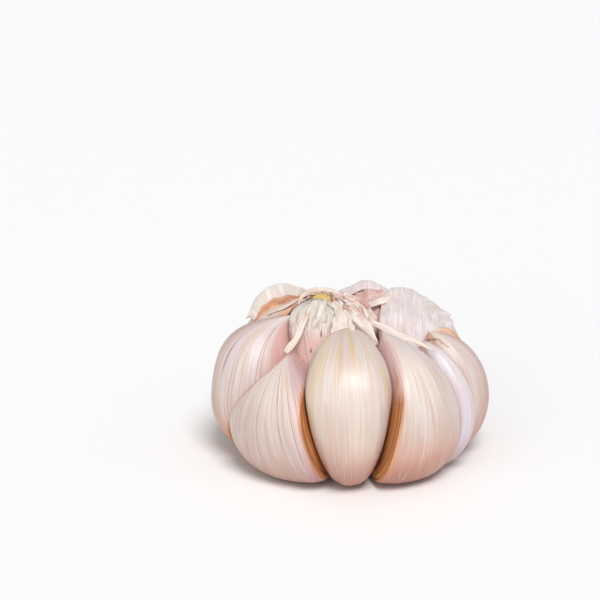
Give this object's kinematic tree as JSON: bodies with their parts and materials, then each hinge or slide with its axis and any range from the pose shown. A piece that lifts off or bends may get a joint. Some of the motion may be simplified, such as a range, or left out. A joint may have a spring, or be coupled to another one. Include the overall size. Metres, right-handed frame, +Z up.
{
  "type": "garlic bulb",
  "caption": "Peeled garlic bulb: plump cloves in a ring around a dried stalk and root plate, with torn papery skin left at the neck.",
  "frame": {"origin": "middle of the root plate's flat underside, which the bulb stands on", "axes": "+Z up through the stalk, -Y towards the front clove, +X to the right seen from the front"},
  "size_m": [0.0599, 0.0592, 0.0348],
  "materials": {
    "clove_skin": "smooth pearly cream skin with fine lengthwise streaks",
    "papery_skin": "thin dry matt skin",
    "dried_wood": "dry fibrous stalk and root"
  },
  "bodies": {
    "root": {"root_plate": "dried_wood", "stalk": "dried_wood", "neck_wrapper": "papery_skin", "clove_front": "clove_skin", "clove_front_right": "clove_skin", "clove_right_sliver": "clove_skin", "clove_right": "clove_skin", "clove_back_right": "clove_skin", "clove_back": "clove_skin", "clove_back_middle": "clove_skin", "clove_back_left": "clove_skin", "clove_left": "clove_skin", "clove_front_left": "clove_skin", "clove_inner": "clove_skin", "skin_left": "papery_skin", "skin_back_left": "papery_skin", "skin_back": "papery_skin", "skin_back_right": "papery_skin", "skin_front_right": "papery_skin"}
  },
  "joints": []
}
